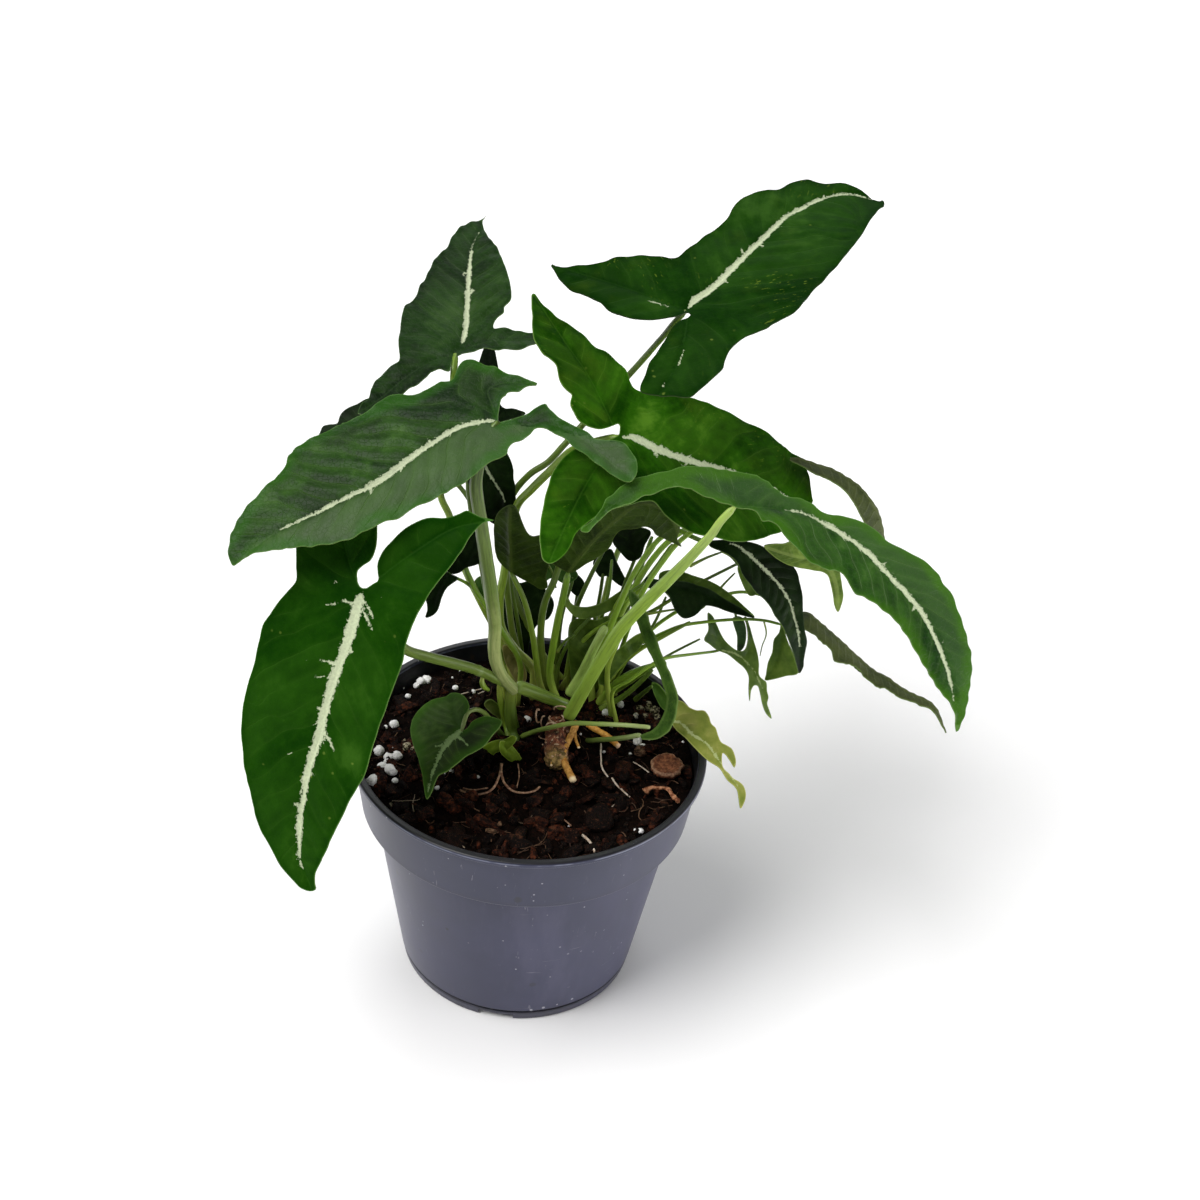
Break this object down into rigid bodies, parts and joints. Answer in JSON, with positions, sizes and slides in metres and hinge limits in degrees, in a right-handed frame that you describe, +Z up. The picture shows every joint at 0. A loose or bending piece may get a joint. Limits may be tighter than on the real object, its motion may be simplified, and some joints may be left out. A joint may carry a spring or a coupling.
{
  "type": "potted syngonium wendlandii",
  "caption": "Arrowhead plant with lobed, silver-veined leaves on long stalks, growing from bark-flecked soil in a round plastic nursery pot.",
  "frame": {"origin": "centre of the flat pad under the pot, on the surface that the pot stands on", "axes": "+Z up; -Y is the front, the side with the low hanging three-lobed leaf to the left"},
  "size_m": [0.232, 0.2099, 0.2577],
  "materials": {
    "pot_plastic": "satin",
    "soil": "matte",
    "old_stem_base": "matte",
    "bark": "matte",
    "root": "matte",
    "stalk": "satin",
    "leaf": "satin",
    "old_leaf": "satin",
    "young_leaf": "satin"
  },
  "bodies": {
    "root": {"bark_01": "bark", "crown": "old_stem_base", "leaf_01": "leaf", "leaf_02": "leaf", "leaf_03": "leaf", "leaf_04": "leaf", "leaf_05": "leaf", "leaf_06": "leaf", "leaf_07": "leaf", "leaf_08": "leaf", "leaf_09": "leaf", "leaf_10": "old_leaf", "leaf_11": "old_leaf", "leaf_12": "young_leaf", "leaf_13": "young_leaf", "leaf_14": "leaf", "leaf_15": "young_leaf", "leaf_16": "leaf", "leaf_17": "young_leaf", "leaf_18": "leaf", "leaf_19": "leaf", "leaf_20": "leaf", "leaf_21": "leaf", "leaf_22": "leaf", "leaf_23": "leaf", "leaf_24": "leaf", "leaf_25": "leaf", "leaf_26": "leaf", "petiole_01": "stalk", "petiole_02": "stalk", "petiole_03": "stalk", "petiole_04": "stalk", "petiole_05": "stalk", "petiole_06": "stalk", "petiole_07": "stalk", "petiole_08": "stalk", "petiole_09": "stalk", "petiole_10": "stalk", "petiole_11": "stalk", "petiole_12": "stalk", "petiole_13": "stalk", "petiole_14": "stalk", "petiole_15": "stalk", "petiole_16": "stalk", "petiole_17": "stalk", "petiole_18": "stalk", "petiole_19": "stalk", "petiole_20": "stalk", "petiole_21": "stalk", "petiole_22": "stalk", "petiole_23": "stalk", "petiole_24": "stalk", "petiole_25": "stalk", "petiole_26": "stalk", "pot": "pot_plastic", "root_01": "root", "sheath_06": "stalk", "shoot_01": "young_leaf", "soil": "soil", "twig_01": "bark"}
  },
  "joints": []
}
